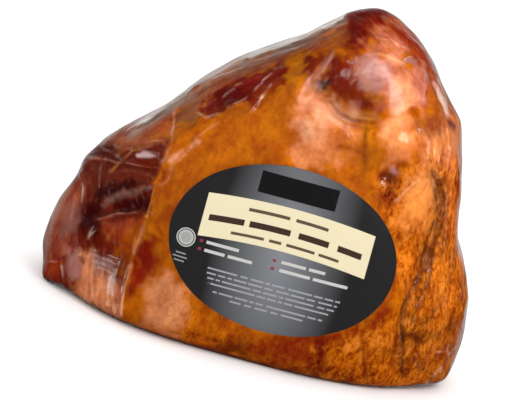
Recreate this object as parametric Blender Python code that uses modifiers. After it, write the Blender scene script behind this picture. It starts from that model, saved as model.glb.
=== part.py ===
"""A boneless smoked half ham, sealed tight in clear shrink film, with an oval label on its front.

Metres, +Z up. The ham stands on its flat cut face, its broad smoked side faces -Y, and the origin is on
the floor under the middle. The film clings to the meat, so ham and film are one solid with the film's
outer form. The label is stuck on top of the film.
"""

import math

import bmesh
import bpy
import numpy as np
from mathutils import Matrix, Vector, noise
from mathutils.bvhtree import BVHTree

# The ham's outline seen from the front: (x, z) on its widest section, clockwise from the left foot.
OUTLINE = {
    "left foot": (-0.1070, 0.000),
    "left low": (-0.1110, 0.018),
    "left waist": (-0.1040, 0.048),
    "film knot": (-0.0915, 0.075),
    "left shoulder": (-0.0765, 0.090),
    "lower slope": (-0.0490, 0.122),
    "upper slope": (-0.0090, 0.152),
    "crown": (0.0265, 0.1750),
    "crown end": (0.0465, 0.1660),
    "right brow": (0.0735, 0.136),
    "right cheek": (0.0850, 0.102),
    "right waist": (0.0930, 0.072),
    "right belly": (0.1070, 0.040),
    "right low": (0.1090, 0.014),
    "right foot": (0.1060, 0.000),
    "below the cut, right": (0.0770, -0.036),
    "below the cut": (0.0000, -0.056),
    "below the cut, left": (-0.0770, -0.036),
}
CENTRE = np.array((0.0, 0.0, 0.072))
FRONT_DEPTH = 0.070
BACK_DEPTH = 0.060
THINNER_TOP = 0.010  # how much less deep the body is towards the crown
ROUNDNESS = 2.5  # superellipse exponent from outline to front and back

# Broad, nearly flat sides: outward direction, distance from CENTRE.
SIDES = {
    "smoked front": ((0.02, -0.98, 0.18), 0.0585),
    "lean left": ((-0.72, -0.69, 0.14), 0.0800),
    "sloping crown": ((0.05, -0.66, 0.75), 0.0880),
    "right front": ((0.70, -0.71, 0.05), 0.0920),
    "back": ((0.05, 0.99, 0.10), 0.0560),
    "back crown": ((0.00, 0.70, 0.71), 0.0900),
}
SIDE_SHARPNESS = 12.0
CUT_SHARPNESS = 14.0
CUT_DROP = 0.0012  # the cut face starts this far low and is trimmed flat at the floor

# The edge of the thick smoked rind: a ridge from foot to shoulder, with a hollow on its left.
RIND_EDGE_X = -0.058
RIND_EDGE_BOW = 0.004
RIND_TOP = 0.092
RIND_FOOT_FADE = (0.004, 0.030)  # heights between which the hollow deepens to its full depth
RIND_TOP_FADE = (0.074, 0.098)  # and fades out again
RIND_STEP = 0.0075
RIND_STEP_WIDTH = 0.006
HOLLOW_WIDTH = 0.036

# Creases where two muscles or two folds of film meet: points (x, z) on the front, half width, depth.
CREASES = {
    "right seam": (
        ((0.075, 0.104), (0.0785, 0.070), (0.0765, 0.050), (0.0757, 0.034), (0.078, 0.022), (0.082, 0.005)),
        0.0045,
        0.0030,
    ),
    "crown edge": (
        ((-0.0600, 0.094), (-0.0550, 0.102), (-0.0410, 0.115), (-0.0135, 0.139), (-0.0070, 0.1455)),
        0.0038,
        0.0026,
    ),
    "first fold": (((0.0050, 0.150), (0.0032, 0.139), (0.0007, 0.126)), 0.0032, 0.0024),
    "second fold": (((0.0190, 0.153), (0.0175, 0.146), (0.0175, 0.134)), 0.0030, 0.0018),
    "hooked fold": (((0.0100, 0.1325), (0.0165, 0.127), (0.0260, 0.1245), (0.0365, 0.126)), 0.0032, 0.0018),
    "brow fold": (((0.0390, 0.159), (0.0500, 0.154), (0.0580, 0.142), (0.0665, 0.130)), 0.0042, 0.0016),
    "knot fold": (((-0.0925, 0.066), (-0.0725, 0.075), (-0.0600, 0.077)), 0.0040, 0.0026),
    "flank pleat": (((-0.0870, 0.028), (-0.0730, 0.031), (-0.0620, 0.026)), 0.0040, 0.0020),
}

# Dents and humps on the front: (x, z), radius, depth into the ham (a hump is negative).
DENTS = {
    "fold pocket": ((0.0045, 0.1350), 0.0060, 0.0030),
    "navel": ((0.0260, 0.1360), 0.0100, 0.0034),
    "eye": ((0.0465, 0.1065), 0.0048, 0.0026),
    "shoulder dent": ((0.0580, 0.1400), 0.0110, 0.0018),
    "film knot": ((-0.0865, 0.0780), 0.0075, -0.0030),
    "right lobe": ((0.0950, 0.0400), 0.0180, -0.0016),
    "foot dent": ((0.0520, 0.0120), 0.0120, 0.0018),
}

LUMP_SIZES = ((0.052, 0.0030), (0.024, 0.0014), (0.012, 0.0006))  # spacing, height
LUMP_SHIFT = Vector((3.1, 7.4, 1.9))
FRONT_TURN = (0.02, 0.35)  # how far a face turns to the front before it has the front's creases in full
CUT_CALM_HEIGHT = 0.012  # the relief fades out this close to the cut face

BALL_CUTS = 43  # cuts along each edge of the starting cube
BODY_TRIANGLES = 7400

# The oval label, flat across the smoked front.
LABEL_CENTRE = (0.0082, 0.0586)
LABEL_HALF_WIDTH = 0.0553
LABEL_HALF_HEIGHT = 0.0400
LABEL_THICKNESS = 0.0005
LABEL_GAP = 0.00035
LABEL_GRID = (18, 14)
CALM = (0.85, 1.25)  # lumps fade out between these many label radii

HAM_COLOUR = (0.50, 0.17, 0.03, 1.0)
HAM_ROUGHNESS = 0.3
LABEL_COLOUR = (0.02, 0.02, 0.025, 1.0)
LABEL_ROUGHNESS = 0.35


def smoothstep(low, high, value):
    share = np.clip((value - low) / (high - low), 0.0, 1.0)
    return share * share * (3.0 - 2.0 * share)


def outline_reach(angle):
    """Distance from CENTRE to the outline at an angle in the front plane, through all named points."""
    points = np.array(list(OUTLINE.values())) - CENTRE[[0, 2]]
    at = np.arctan2(points[:, 1], points[:, 0])
    reach = np.hypot(points[:, 0], points[:, 1])
    order = np.argsort(at)
    at, reach = at[order], reach[order]
    at = np.concatenate((at[-2:] - math.tau, at, at[:2] + math.tau))
    reach = np.concatenate((reach[-2:], reach, reach[:2]))
    slope = np.gradient(reach, at)
    i = np.clip(np.searchsorted(at, angle) - 1, 0, len(at) - 2)
    step = at[i + 1] - at[i]
    t = (angle - at[i]) / step
    return (
        (2 * t**3 - 3 * t**2 + 1) * reach[i]
        + (t**3 - 2 * t**2 + t) * step * slope[i]
        + (3 * t**2 - 2 * t**3) * reach[i + 1]
        + (t**3 - t**2) * step * slope[i + 1]
    )


def body_point(direction):
    """The smooth body along unit directions from CENTRE: outline and depth, cut down by the broad sides."""
    x, y, z = direction.T
    across = np.hypot(x, z) / outline_reach(np.arctan2(z, x))
    depth = np.where(y < 0, FRONT_DEPTH, BACK_DEPTH) - THINNER_TOP * np.clip(z, 0, None)
    closeness = (across**ROUNDNESS + (np.abs(y) / depth) ** ROUNDNESS) ** (1 / ROUNDNESS)
    total = closeness**SIDE_SHARPNESS
    for normal, distance in SIDES.values():
        facing = direction @ (np.array(normal) / np.linalg.norm(normal))
        total += (np.clip(facing, 0, None) / distance) ** SIDE_SHARPNESS
    closeness = total ** (1 / SIDE_SHARPNESS)
    cut = np.clip(-z, 0, None) / (CENTRE[2] + CUT_DROP)
    closeness = (closeness**CUT_SHARPNESS + cut**CUT_SHARPNESS) ** (1 / CUT_SHARPNESS)
    return CENTRE + direction / closeness[:, None]


def distance_to_path(x, z, path):
    """Distance in the front plane from each point to a line through the path's points."""
    nearest = np.full(len(x), np.inf)
    for (ax, az), (bx, bz) in zip(path, path[1:]):
        along = ((x - ax) * (bx - ax) + (z - az) * (bz - az)) / ((bx - ax) ** 2 + (bz - az) ** 2)
        along = np.clip(along, 0, 1)
        nearest = np.minimum(nearest, np.hypot(x - ax - along * (bx - ax), z - az - along * (bz - az)))
    return nearest


def label_radius(x, z):
    """1 on the label's edge, less inside it."""
    return np.hypot((x - LABEL_CENTRE[0]) / LABEL_HALF_WIDTH, (z - LABEL_CENTRE[1]) / LABEL_HALF_HEIGHT)


def rind_hollow(x, z):
    """Depth of the hollow beside the rind's edge."""
    edge = RIND_EDGE_X - RIND_EDGE_BOW * np.sin(math.pi * z / RIND_TOP)
    left_of_edge = edge - x
    drop = smoothstep(0.0, RIND_STEP_WIDTH, left_of_edge)
    rise = 1.0 - smoothstep(RIND_STEP_WIDTH, HOLLOW_WIDTH, left_of_edge)
    tall = smoothstep(*RIND_FOOT_FADE, z) * (1.0 - smoothstep(*RIND_TOP_FADE, z))
    return RIND_STEP * drop * rise * tall


def lumps(points, calm):
    """Soft uneven swelling all over, calmed where the label lies and none at the cut face."""
    height = np.zeros(len(points))
    for spacing, swell in LUMP_SIZES:
        height += [swell * noise.noise(Vector(p) / spacing + LUMP_SHIFT) for p in points]
    return height * calm


def relief(points, normals):
    """How far each surface point moves along its normal."""
    x, z = points[:, 0], points[:, 2]
    front = smoothstep(*FRONT_TURN, -normals[:, 1])
    above_cut = smoothstep(0.0, CUT_CALM_HEIGHT, z)
    calm = smoothstep(*CALM, label_radius(x, z)) * front + (1.0 - front)
    height = lumps(points, calm)
    height -= rind_hollow(x, z) * front
    for path, half_width, depth in CREASES.values():
        height -= depth * front * np.exp(-((distance_to_path(x, z, path) / half_width) ** 2))
    for (cx, cz), radius, depth in DENTS.values():
        height -= depth * front * np.exp(-((x - cx) ** 2 + (z - cz) ** 2) / radius**2)
    return height * above_cut


def add_object(name, mesh, collection, colour, roughness):
    material = bpy.data.materials.new(name)
    material.use_nodes = True
    shader = material.node_tree.nodes["Principled BSDF"]
    shader.inputs["Base Color"].default_value = colour
    shader.inputs["Roughness"].default_value = roughness
    shader.inputs["Metallic"].default_value = 0.0
    mesh.materials.append(material)
    made = bpy.data.objects.new(name, mesh)
    collection.objects.link(made)
    return made


def coordinates(mesh):
    places = np.empty(len(mesh.vertices) * 3)
    mesh.vertices.foreach_get("co", places)
    return places.reshape(-1, 3)


def directions_out(mesh):
    normals = np.empty(len(mesh.vertices) * 3)
    mesh.vertex_normals.foreach_get("vector", normals)
    return normals.reshape(-1, 3)


def make_ham(collection):
    """A cube cut fine and rounded to a ball, pushed out to the body, then given its relief."""
    bm = bmesh.new()
    bmesh.ops.create_cube(bm, size=2.0)
    bmesh.ops.subdivide_edges(bm, edges=bm.edges[:], cuts=BALL_CUTS, use_grid_fill=True)
    mesh = bpy.data.meshes.new("sealed_ham")
    bm.to_mesh(mesh)
    bm.free()
    direction = np.tan(coordinates(mesh) * math.pi / 4)
    direction /= np.linalg.norm(direction, axis=1)[:, None]
    smooth = body_point(direction)
    mesh.vertices.foreach_set("co", smooth.ravel())
    mesh.update()
    normals = directions_out(mesh)
    shaped = smooth + normals * relief(smooth, normals)[:, None]
    shaped[:, 2] = np.clip(shaped[:, 2], 0.0, None)
    mesh.vertices.foreach_set("co", shaped.ravel())
    mesh.update()
    mesh.shade_smooth()
    ham = add_object("sealed_ham", mesh, collection, HAM_COLOUR, HAM_ROUGHNESS)
    fewer = ham.modifiers.new("fewer faces", "DECIMATE")
    fewer.ratio = BODY_TRIANGLES / (2 * len(mesh.polygons))
    return ham


def make_label(collection, ham):
    """A grid rounded to an oval, laid on the ham's front, with its thickness added outwards."""
    bpy.context.view_layer.update()
    surface = BVHTree.FromObject(ham, bpy.context.evaluated_depsgraph_get())
    bm = bmesh.new()
    across, up = LABEL_GRID
    bmesh.ops.create_grid(bm, x_segments=across, y_segments=up, size=1.0)
    mesh = bpy.data.meshes.new("label")
    bm.to_mesh(mesh)
    bm.free()
    square = coordinates(mesh)
    u = square[:, 0] * np.sqrt(1 - square[:, 1] ** 2 / 2)
    v = square[:, 1] * np.sqrt(1 - square[:, 0] ** 2 / 2)
    x = LABEL_CENTRE[0] + LABEL_HALF_WIDTH * u
    z = LABEL_CENTRE[1] + LABEL_HALF_HEIGHT * v
    start = -2 * FRONT_DEPTH
    found = [surface.ray_cast(Vector((px, start, pz)), Vector((0, 1, 0)))[0].y for px, pz in zip(x, z)]
    mesh.vertices.foreach_set("co", np.stack((x, np.array(found) - LABEL_GAP, z), axis=1).ravel())
    mesh.update()
    mesh.shade_smooth()
    label = add_object("label", mesh, collection, LABEL_COLOUR, LABEL_ROUGHNESS)
    thick = label.modifiers.new("thickness", "SOLIDIFY")
    thick.thickness = LABEL_THICKNESS
    thick.offset = 1.0
    thick.use_even_offset = True
    return label


def centre_over_origin(objects):
    """Moves the meshes together, so that the whole's box has its bottom centre on the origin."""
    bpy.context.view_layer.update()
    depsgraph = bpy.context.evaluated_depsgraph_get()
    corners = np.array([corner[:] for made in objects for corner in made.evaluated_get(depsgraph).bound_box])
    low, high = corners.min(0), corners.max(0)
    middle = (low + high) / 2
    for made in objects:
        made.data.transform(Matrix.Translation((-middle[0], -middle[1], -low[2])))


def main():
    for old in list(bpy.data.objects):
        bpy.data.objects.remove(old)
    collection = bpy.data.collections.new("half ham")
    bpy.context.scene.collection.children.link(collection)
    ham = make_ham(collection)
    label = make_label(collection, ham)
    centre_over_origin((ham, label))


main()
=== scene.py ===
# %% [markdown]
# # A smoked half ham sealed in clear film
# The real thing is a boneless ham, smoked until its rind is golden, cut in half and shrunk tight into
# clear barrier film, with an oval paper label stuck on top. It stands on its flat cut face. Three things
# make it look real: meat whose colour changes from gold to wine red, a thin gleaming skin of film with
# pleats and slack places, and a crisp printed label. Each gets a chapter of its own below.

import math

import bpy
import numpy as np
from mathutils import Matrix, Vector, noise


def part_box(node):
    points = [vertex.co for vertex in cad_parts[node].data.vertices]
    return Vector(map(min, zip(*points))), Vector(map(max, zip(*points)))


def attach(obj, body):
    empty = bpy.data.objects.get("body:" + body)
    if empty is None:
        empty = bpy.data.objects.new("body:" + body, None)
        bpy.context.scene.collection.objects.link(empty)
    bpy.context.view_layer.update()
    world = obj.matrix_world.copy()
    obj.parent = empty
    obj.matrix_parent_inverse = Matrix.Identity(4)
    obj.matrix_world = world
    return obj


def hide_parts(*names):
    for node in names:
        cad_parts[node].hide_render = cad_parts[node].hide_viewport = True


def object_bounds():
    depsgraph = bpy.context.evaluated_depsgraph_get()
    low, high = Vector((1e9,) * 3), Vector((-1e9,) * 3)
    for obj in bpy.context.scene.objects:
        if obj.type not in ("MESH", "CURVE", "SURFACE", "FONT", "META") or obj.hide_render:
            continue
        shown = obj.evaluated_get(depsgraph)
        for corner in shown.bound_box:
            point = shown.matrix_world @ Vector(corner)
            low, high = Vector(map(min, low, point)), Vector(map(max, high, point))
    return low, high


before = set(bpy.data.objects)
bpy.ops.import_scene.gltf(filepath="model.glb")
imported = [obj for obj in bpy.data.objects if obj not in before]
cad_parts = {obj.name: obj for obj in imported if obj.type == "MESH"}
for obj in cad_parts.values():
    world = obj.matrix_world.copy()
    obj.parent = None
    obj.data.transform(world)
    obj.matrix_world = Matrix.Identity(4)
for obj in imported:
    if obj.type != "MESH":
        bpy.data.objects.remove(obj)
cad_low, cad_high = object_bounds()
print("the solid ham measures", [round(side * 1000, 1) for side in cad_high - cad_low], "mm")

# %% [markdown]
# ## The camera
# The photograph was taken from a little above, and the picture was then turned until the ham leaned. A
# ham can't lean, so the camera leans instead: it looks down by 13 degrees and is rolled by 15.3. One
# pixel of the picture is half a millimetre at the ham's middle, which fixes the focal length.

# %% The camera
PICTURE = (512, 400)
PIXEL = 0.0005
CAMERA_DISTANCE = 1.1
LOOK_DOWN = math.radians(13.0)
ROLL = math.radians(15.3)
AIM = Vector((-0.0102, 0.0, 0.0664))
SENSOR = 36.0

ahead = Vector((0, math.cos(LOOK_DOWN), -math.sin(LOOK_DOWN)))
level_right = Vector((1, 0, 0))
level_up = level_right.cross(ahead)
view_right = level_right * math.cos(ROLL) + level_up * math.sin(ROLL)
view_up = level_up * math.cos(ROLL) - level_right * math.sin(ROLL)
eye = AIM - ahead * CAMERA_DISTANCE

bpy.ops.object.camera_add(location=eye)
camera = bpy.context.object
camera.matrix_world = Matrix.Translation(eye) @ Matrix((view_right, view_up, -ahead)).transposed().to_4x4()
camera.data.sensor_width = SENSOR
camera.data.lens = SENSOR * CAMERA_DISTANCE / (PICTURE[0] * PIXEL)
bpy.context.scene.camera = camera
print(f"focal length {camera.data.lens:.1f} mm")

# %% [markdown]
# ## Small helpers
# A mesh with a hundred thousand points is shaped faster as one table of numbers than by hand, so most of
# the shaping below reads all points at once, moves them and writes them back. `brush` works like a soft
# brush in a painting program: it is 1 on a path and fades to 0 a brush width away. Paths are given where
# they show in the picture, in its pixels, because that is how they were studied. They only act on what
# faces the picture.


# %% Helpers for meshes
def only(piece):
    """Selects this piece and nothing else, because an operator acts on all that is selected."""
    bpy.ops.object.select_all(action="DESELECT")
    piece.select_set(True)
    bpy.context.view_layer.objects.active = piece


def apply_modifier(piece, kind, **settings):
    only(piece)
    modifier = piece.modifiers.new(kind.lower(), kind)
    for name, value in settings.items():
        setattr(modifier, name, value)
    bpy.ops.object.modifier_apply(modifier=modifier.name)


def points_of(piece):
    values = np.empty(len(piece.data.vertices) * 3)
    piece.data.vertices.foreach_get("co", values)
    return values.reshape(-1, 3)


def normals_of(piece):
    values = np.empty(len(piece.data.vertices) * 3)
    piece.data.vertex_normals.foreach_get("vector", values)
    return values.reshape(-1, 3)


def move_points(piece, points):
    piece.data.vertices.foreach_set("co", points.ravel())
    piece.data.update()


def note(piece, name, values):
    """Keeps one number, colour or place for each point of the mesh, for its material to read."""
    kinds = {1: ("FLOAT", "value"), 3: ("FLOAT_VECTOR", "vector"), 4: ("FLOAT_COLOR", "color")}
    width = 1 if values.ndim == 1 else values.shape[1]
    kind, field = kinds[width]
    made = piece.data.attributes.new(name, kind, "POINT")
    made.data.foreach_set(field, values.astype(np.float32).ravel())


# %% Helpers for places, brushes and randomness
def in_picture(points):
    """Where each point shows in the picture, in pixels from its top left corner."""
    apart = points - np.array(eye)
    scale = CAMERA_DISTANCE / (apart @ np.array(ahead)) / PIXEL
    across = PICTURE[0] / 2 + apart @ np.array(view_right) * scale
    down = PICTURE[1] / 2 - apart @ np.array(view_up) * scale
    return np.stack((across, down), axis=1)


def fade(low, high, value):
    share = np.clip((value - low) / (high - low), 0.0, 1.0)
    return share * share * (3.0 - 2.0 * share)


def beside(at, path):
    """How far each place is from a path, and on which side of it, as 1 or -1."""
    nearest = np.full(len(at), np.inf)
    side = np.ones(len(at))
    for start, end in zip(path, path[1:] or path):
        run = np.subtract(end, start).astype(float)
        along = np.clip((at - start) @ run / max(run @ run, 1e-9), 0, 1)
        off = at - start - along[:, None] * run
        apart = np.linalg.norm(off, axis=1)
        side = np.where(apart < nearest, np.where(run[0] * off[:, 1] < run[1] * off[:, 0], -1.0, 1.0), side)
        nearest = np.minimum(nearest, apart)
    return nearest, side


def brush(at, path, width, hardness=2.0):
    """1 on the path, fading to 0 about a width away; a path of one point gives a round dab."""
    return np.exp(-((beside(at, path)[0] / width) ** hardness))


RAGGED_EDGE = 6.0


def field(at, corners, softness, grain=0.0):
    """1 inside an outline, fading to 0 across its edge, which grain from -1 to 1 breaks up."""
    edge = beside(at, corners + corners[:1])[0]
    inside = np.zeros(len(at), bool)
    for (x0, y0), (x1, y1) in zip(corners, corners[1:] + corners[:1]):
        if y0 != y1:
            crossing = (x1 - x0) * (at[:, 1] - y0) / (y1 - y0) + x0
            inside ^= ((y0 > at[:, 1]) != (y1 > at[:, 1])) & (at[:, 0] < crossing)
    broken = np.minimum(softness, RAGGED_EDGE) * grain
    return fade(-softness, softness, np.where(inside, edge, -edge) + broken)


def ripple(places, spacing, seed=0.0):
    """Smooth chance heights from about -1 to 1, with hills this far apart."""
    return np.array([noise.noise(Vector(place)) for place in places / spacing + seed])


def ripples(places, layers):
    """Adds up layers of chance heights, each given as (height, spacing, seed)."""
    return sum(height * ripple(places, spacing, seed) for height, spacing, seed in layers)


# %% [markdown]
# ## One smooth body for film and meat
# The film clings to the meat, so both start as the same surface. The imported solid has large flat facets.
# A voxel remesh gives it an even net, a Smooth modifier melts the facets away, and the side that the
# picture shows is subdivided once more, because most of the pleats are there. On the back, on the cut
# face and under the label little is to be shaped, so the net is collapsed to a coarser one. The meat is
# that surface a little inside, the film is that surface itself.

# %% The smooth body
NET_SIZE = 0.00175
FIRST_SMOOTH = 7
LAST_SMOOTH = 4
UNDER_LABEL = 0.92
TURNED_AWAY = -0.1
COARSER = 0.25
SAME_POINT = 0.00001
SMOOTHING = 0.5
MOSTLY_AHEAD = 0.1
FACING_THE_PICTURE = 0.05


def copy_of(original, name):
    piece = original.copy()
    piece.data = original.data.copy()
    piece.name = name
    bpy.context.scene.collection.objects.link(piece)
    return piece


film = bpy.data.objects.new("clear_film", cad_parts["sealed_ham"].data.copy())
bpy.context.scene.collection.objects.link(film)
film.data.materials.clear()
only(film)
bpy.ops.object.mode_set(mode="EDIT")
bpy.ops.mesh.select_all(action="SELECT")
bpy.ops.mesh.remove_doubles(threshold=SAME_POINT)
bpy.ops.object.mode_set(mode="OBJECT")
film.data.remesh_voxel_size = NET_SIZE
bpy.ops.object.voxel_remesh()
apply_modifier(film, "SMOOTH", factor=SMOOTHING, iterations=FIRST_SMOOTH)
towards = ahead + view_up * MOSTLY_AHEAD
for face in film.data.polygons:
    face.select = face.normal.dot(towards) < FACING_THE_PICTURE
bpy.ops.object.mode_set(mode="EDIT")
bpy.ops.mesh.select_mode(type="FACE")
bpy.ops.mesh.subdivide(number_cuts=1)
bpy.ops.mesh.select_all(action="DESELECT")
bpy.ops.object.mode_set(mode="OBJECT")
apply_modifier(film, "SMOOTH", factor=SMOOTHING, iterations=LAST_SMOOTH)
label_low, label_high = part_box("label")
label_centre = (label_low + label_high) / 2
LABEL_HALF = ((label_high.x - label_low.x) / 2, (label_high.z - label_low.z) / 2)
for face in film.data.polygons:
    across = (face.center.x - label_centre.x) / LABEL_HALF[0]
    upward = (face.center.z - label_centre.z) / LABEL_HALF[1]
    away = face.normal.dot(ahead) > TURNED_AWAY
    face.select = away or math.hypot(across, upward) < UNDER_LABEL
bpy.ops.object.mode_set(mode="EDIT")
bpy.ops.mesh.decimate(ratio=COARSER)
bpy.ops.object.mode_set(mode="OBJECT")
bpy.ops.object.shade_smooth()
print(len(film.data.vertices), "points in the net")

# %% [markdown]
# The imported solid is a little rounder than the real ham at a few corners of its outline. There the net is
# drawn out by one to four millimetres, for film and meat alike. On the broad front, lobes of muscle swell
# and hollows sink by a millimetre or two, which only shows in how they catch the light. And the edge
# round the cut face is crisp on a cut ham, so the lowest few millimetres are pushed out to meet it.

# %% Corners drawn out, low relief and a crisp foot
CORNERS = {
    "left foot": ([(44, 276)], 14, 0.0055),
    "left flank": ([(62, 196)], 18, 0.0010),
    "under the knot": ([(86, 158)], 12, 0.0014),
    "crown": ([(378, 9)], 12, 0.0008),
    "right brow": ([(458, 122)], 12, 0.0014),
    "right cheek": ([(468, 300)], 16, 0.0008),
    "right foot": ([(444, 380)], 15, 0.0026),
}
RELIEF = {
    "peach lobe": ([(386, 72)], 22, 0.0005),
    "bright lobe": ([(398, 142)], 15, 0.0016),
    "pink lobe": ([(311, 124)], 16, 0.0014),
    "right lobe": ([(415, 200), (412, 226)], 12, 0.0012),
    "navel": ([(324, 62), (320, 84), (338, 98), (362, 106)], 9, -0.0007),
    "eye": ([(387, 176)], 7, -0.0010),
    "lean blade": ([(104, 200), (150, 186)], 8, 0.0012),
    "lean hollow": ([(92, 216), (140, 206)], 8, -0.0012),
}
FOOT_HEIGHT = 0.0045
FOOT_PUSH = 0.0016
FOOT_SQUARED = 0.0012
FOOT_ROUND = 0.0008
UNDERSIDE = 0.35
FLOOR_REACH = 0.008


def draw_out(piece):
    points = points_of(piece)
    out = normals_of(piece)
    shown = in_picture(points)
    drawn = sum(height * brush(shown, path, width) for path, width, height in CORNERS.values())
    swollen = sum(height * brush(shown, path, width) for path, width, height in RELIEF.values())
    drawn += swollen * fade(0.1, 0.5, -(out @ np.array(ahead)))
    points += out * drawn[:, None]
    pushed = FOOT_PUSH * fade(FOOT_HEIGHT, 0.0, points[:, 2])
    points[:, :2] += out[:, :2] * pushed[:, None]
    sideways = out[:, :2] / np.maximum(np.linalg.norm(out[:, :2], axis=1), UNDERSIDE)[:, None]
    squared = FOOT_SQUARED * np.exp(-points[:, 2] / FOOT_ROUND)
    points[:, :2] += sideways * squared[:, None]
    points[:, 2] = np.maximum(points[:, 2], 0.0)
    move_points(piece, points)
    print(f"the corners are drawn out by up to {drawn.max() * 1000:.1f} mm")


draw_out(film)
body = points_of(film)
outward = normals_of(film)
seen_at = in_picture(body)
to_eye = np.array(eye) - body
to_eye /= np.linalg.norm(to_eye, axis=1)[:, None]
facing = (outward * to_eye).sum(axis=1)
in_view = fade(0.0, 0.25, facing)
above_floor = fade(0.0, FLOOR_REACH, body[:, 2])

# %% [markdown]
# ## The folds of the meat
# A boned ham closes up in folds: one long seam down the right, a navel of short folds near the crown, and
# the step where the thick rind ends on the left. The solid already has the large ones, so here they are
# only made crisper, and fine unevenness is added. Where the film is slack, the meat lies deeper under it.

# %% The meat
FILM_GAP = 0.00045
FILM_GAP_BELOW = 0.00010
FILM_GAP_REACH = 0.004
PRESSED_FLAT = 0.0006
UNEVEN_FLESH = ((0.00035, 0.009, 4.0), (0.00018, 0.004, 9.0))
MEAT_FOLDS = {
    "right seam": (
        [(436, 174), (443, 198), (441, 214), (431, 255), (420, 278), (404, 309), (402, 345)], 2.0, 0.0011),
    "seam's foot": ([(414, 292), (424, 318), (414, 340), (420, 366)], 2.4, 0.0009),
    "first fold": ([(328, 54), (319, 76), (309, 92)], 3.0, 0.0012),
    "second fold": ([(350, 64), (345, 84), (338, 98)], 3.2, 0.0006),
    "hooked fold": ([(328, 98), (340, 114), (356, 123), (372, 126)], 3.0, 0.0005),
    "rind edge": (
        [(166, 128), (158, 165), (150, 191), (142, 216), (134, 242), (125, 268), (118, 302)], 2.0, 0.0010),
    "strip fold": ([(206, 108), (232, 96), (258, 84), (284, 66)], 3.0, 0.0012),
    "foot fold": ([(96, 285), (92, 250), (98, 225)], 4.0, 0.0010),
    "middle crease": ([(366, 126), (362, 158)], 2.5, 0.0005),
    "lower streak": ([(365, 346), (366, 380)], 2.0, 0.0006),
}
SLACK = {
    "lower bag": ([(130, 134), (150, 121), (182, 102)], 7.0, 0.0014),
    "upper bag": ([(236, 71), (280, 50), (320, 31), (340, 22)], 7.0, 0.0014),
    "whole edge": ([(118, 140), (205, 88), (250, 66), (345, 20)], 6.0, 0.0006),
    "right bag": ([(434, 72), (444, 98), (450, 118)], 5.0, 0.0016),
}
RIM_WIDTH = 0.55
rim = np.exp(-((facing / RIM_WIDTH) ** 2))
slack = np.zeros(len(body))
for path, width, depth in SLACK.values():
    slack = np.maximum(slack, depth * brush(seen_at, path, width, 4.0) * rim)

sunk = np.zeros(len(body))
for path, width, depth in MEAT_FOLDS.values():
    sunk += depth * brush(seen_at, path, width) * in_view
uneven = ripples(body, UNEVEN_FLESH)
gap = FILM_GAP_BELOW + (FILM_GAP - FILM_GAP_BELOW) * fade(0.0, FILM_GAP_REACH, body[:, 2])
inward = gap + slack + (sunk + np.abs(uneven)) * above_floor

meat = copy_of(film, "ham_meat")
flesh = body - outward * inward[:, None]
flesh[:, 2] = np.where(body[:, 2] < PRESSED_FLAT, FILM_GAP_BELOW, np.maximum(flesh[:, 2], FILM_GAP_BELOW))
move_points(meat, flesh)
print(f"the meat lies {inward.min() * 1000:.2f} to {inward.max() * 1000:.2f} mm under the film")

# %% [markdown]
# ## Which way things run
# Film is pulled tight from the knot on the left shoulder and from the navel, and hangs straight
# elsewhere, so its fine creases and the streaks under it fan out or run side by side. Each point keeps
# its place across and along that run, for noise that is stretched the same way.

# %% The run of the fine creases
KNOT = (112, 147)
NAVEL = (338, 100)


def round_about(middle):
    """Round a middle: the angle as a length at 40 pixels out, the distance, and the way outwards."""
    apart = seen_at - middle
    distance = np.linalg.norm(apart, axis=1)
    return np.arctan2(apart[:, 1], apart[:, 0]) * 40.0, distance, apart / np.maximum(distance, 1.0)[:, None]


def straight(run):
    """Places across and along a straight run, and its way."""
    run = np.array(run) / np.linalg.norm(run)
    return seen_at @ np.array((-run[1], run[0])), seen_at @ run, np.tile(run, (len(seen_at), 1))


CREASE_RUNS = (
    (1.0, 8.0, [(80, 150), (110, 130), (176, 110), (150, 215), (90, 225), (50, 215)], round_about(KNOT)),
    (1.0, 8.0, [(90, 222), (150, 212), (118, 320), (36, 300), (40, 225)], straight((-0.15, 1.0))),
    (1.0, 8.0, [(120, 140), (175, 98), (260, 50), (350, 10), (350, 40), (290, 70), (220, 116)],
     straight((0.87, -0.5))),
    (0.45, 10.0, [(290, 60), (350, 45), (415, 60), (415, 165), (300, 160)], round_about(NAVEL)),
    (1.0, 8.0, [(425, 90), (470, 110), (470, 330), (450, 390), (395, 385), (400, 310), (428, 230)],
     straight((-0.12, 1.0))),
    (1.0, 8.0, [(350, 0), (400, 0), (440, 80), (430, 100), (410, 58), (350, 55)], straight((0.7, 0.7))),
)
CREASE_STRETCH = 0.15
shares = np.array([most * field(seen_at, corners, soft) for most, soft, corners, _ in CREASE_RUNS])
strongest = shares.argmax(axis=0)
places = [place for *_, place in CREASE_RUNS]
across = np.choose(strongest, [place[0] for place in places])
along = np.choose(strongest, [place[1] for place in places])
outwards = np.choose(strongest[:, None], [place[2] for place in places])
ranked = np.sort(shares, axis=0)
crease_amount = np.clip(ranked[-1] - ranked[-2], 0, 1) * in_view
crease_place = np.stack(
    (across * PIXEL, along * PIXEL * CREASE_STRETCH, body[:, 1] * CREASE_STRETCH), axis=1
)

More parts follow.
